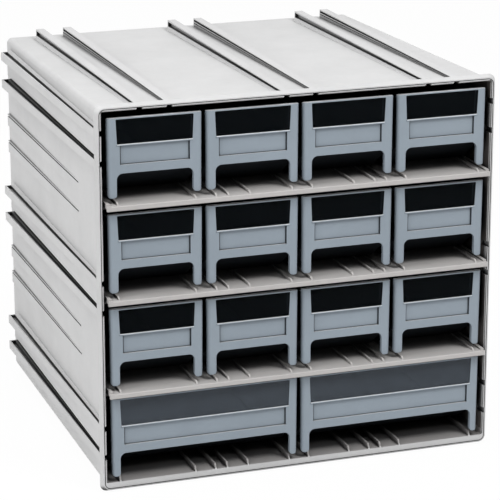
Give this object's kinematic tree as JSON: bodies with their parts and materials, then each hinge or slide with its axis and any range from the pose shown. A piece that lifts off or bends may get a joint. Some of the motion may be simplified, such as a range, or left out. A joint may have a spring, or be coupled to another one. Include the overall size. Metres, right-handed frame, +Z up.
{
  "type": "parts bin cabinet",
  "caption": "Stackable grey plastic cabinet with rows of small pull-out drawers over wide ones, each with a window, a label recess and a finger recess.",
  "frame": {"origin": "middle of the cabinet's footprint, on the surface that it stands on", "axes": "+Z up, drawers open towards -Y, +X to the right of someone who faces the drawers"},
  "size_m": [0.2968, 0.2776, 0.2794],
  "materials": {
    "casing": "light grey moulded plastic, satin",
    "shelf": "warm grey moulded plastic, satin",
    "front": "blue grey moulded plastic, satin",
    "tray": "dark moulded plastic, satin",
    "small_window": "dark smoked clear plastic",
    "wide_window": "slate smoked clear plastic"
  },
  "bodies": {
    "cabinet": {"casing": "casing", "lower_shelf": "shelf", "middle_shelf": "shelf", "upper_shelf": "shelf"},
    "drawer_upper_1": {"drawer_upper_1_tray": "tray", "drawer_upper_1_front": "front", "drawer_upper_1_window": "small_window"},
    "drawer_upper_2": {"drawer_upper_2_tray": "tray", "drawer_upper_2_front": "front", "drawer_upper_2_window": "small_window"},
    "drawer_upper_3": {"drawer_upper_3_tray": "tray", "drawer_upper_3_front": "front", "drawer_upper_3_window": "small_window"},
    "drawer_upper_4": {"drawer_upper_4_tray": "tray", "drawer_upper_4_front": "front", "drawer_upper_4_window": "small_window"},
    "drawer_middle_1": {"drawer_middle_1_tray": "tray", "drawer_middle_1_front": "front", "drawer_middle_1_window": "small_window"},
    "drawer_middle_2": {"drawer_middle_2_tray": "tray", "drawer_middle_2_front": "front", "drawer_middle_2_window": "small_window"},
    "drawer_middle_3": {"drawer_middle_3_tray": "tray", "drawer_middle_3_front": "front", "drawer_middle_3_window": "small_window"},
    "drawer_middle_4": {"drawer_middle_4_tray": "tray", "drawer_middle_4_front": "front", "drawer_middle_4_window": "small_window"},
    "drawer_lower_1": {"drawer_lower_1_tray": "tray", "drawer_lower_1_front": "front", "drawer_lower_1_window": "small_window"},
    "drawer_lower_2": {"drawer_lower_2_tray": "tray", "drawer_lower_2_front": "front", "drawer_lower_2_window": "small_window"},
    "drawer_lower_3": {"drawer_lower_3_tray": "tray", "drawer_lower_3_front": "front", "drawer_lower_3_window": "small_window"},
    "drawer_lower_4": {"drawer_lower_4_tray": "tray", "drawer_lower_4_front": "front", "drawer_lower_4_window": "small_window"},
    "wide_drawer_left": {"wide_drawer_left_tray": "tray", "wide_drawer_left_front": "front", "wide_drawer_left_window": "wide_window"},
    "wide_drawer_right": {"wide_drawer_right_tray": "tray", "wide_drawer_right_front": "front", "wide_drawer_right_window": "wide_window"}
  },
  "joints": [
    {"name": "drawer_upper_1_slide", "type": "slide", "parent": "cabinet", "child": "drawer_upper_1", "axis": [0, -1, 0], "range_m": [0, 0.22]},
    {"name": "drawer_upper_2_slide", "type": "slide", "parent": "cabinet", "child": "drawer_upper_2", "axis": [0, -1, 0], "range_m": [0, 0.22]},
    {"name": "drawer_upper_3_slide", "type": "slide", "parent": "cabinet", "child": "drawer_upper_3", "axis": [0, -1, 0], "range_m": [0, 0.22]},
    {"name": "drawer_upper_4_slide", "type": "slide", "parent": "cabinet", "child": "drawer_upper_4", "axis": [0, -1, 0], "range_m": [0, 0.22]},
    {"name": "drawer_middle_1_slide", "type": "slide", "parent": "cabinet", "child": "drawer_middle_1", "axis": [0, -1, 0], "range_m": [0, 0.22]},
    {"name": "drawer_middle_2_slide", "type": "slide", "parent": "cabinet", "child": "drawer_middle_2", "axis": [0, -1, 0], "range_m": [0, 0.22]},
    {"name": "drawer_middle_3_slide", "type": "slide", "parent": "cabinet", "child": "drawer_middle_3", "axis": [0, -1, 0], "range_m": [0, 0.22]},
    {"name": "drawer_middle_4_slide", "type": "slide", "parent": "cabinet", "child": "drawer_middle_4", "axis": [0, -1, 0], "range_m": [0, 0.22]},
    {"name": "drawer_lower_1_slide", "type": "slide", "parent": "cabinet", "child": "drawer_lower_1", "axis": [0, -1, 0], "range_m": [0, 0.22]},
    {"name": "drawer_lower_2_slide", "type": "slide", "parent": "cabinet", "child": "drawer_lower_2", "axis": [0, -1, 0], "range_m": [0, 0.22]},
    {"name": "drawer_lower_3_slide", "type": "slide", "parent": "cabinet", "child": "drawer_lower_3", "axis": [0, -1, 0], "range_m": [0, 0.22]},
    {"name": "drawer_lower_4_slide", "type": "slide", "parent": "cabinet", "child": "drawer_lower_4", "axis": [0, -1, 0], "range_m": [0, 0.22]},
    {"name": "wide_drawer_left_slide", "type": "slide", "parent": "cabinet", "child": "wide_drawer_left", "axis": [0, -1, 0], "range_m": [0, 0.22]},
    {"name": "wide_drawer_right_slide", "type": "slide", "parent": "cabinet", "child": "wide_drawer_right", "axis": [0, -1, 0], "range_m": [0, 0.22]}
  ]
}
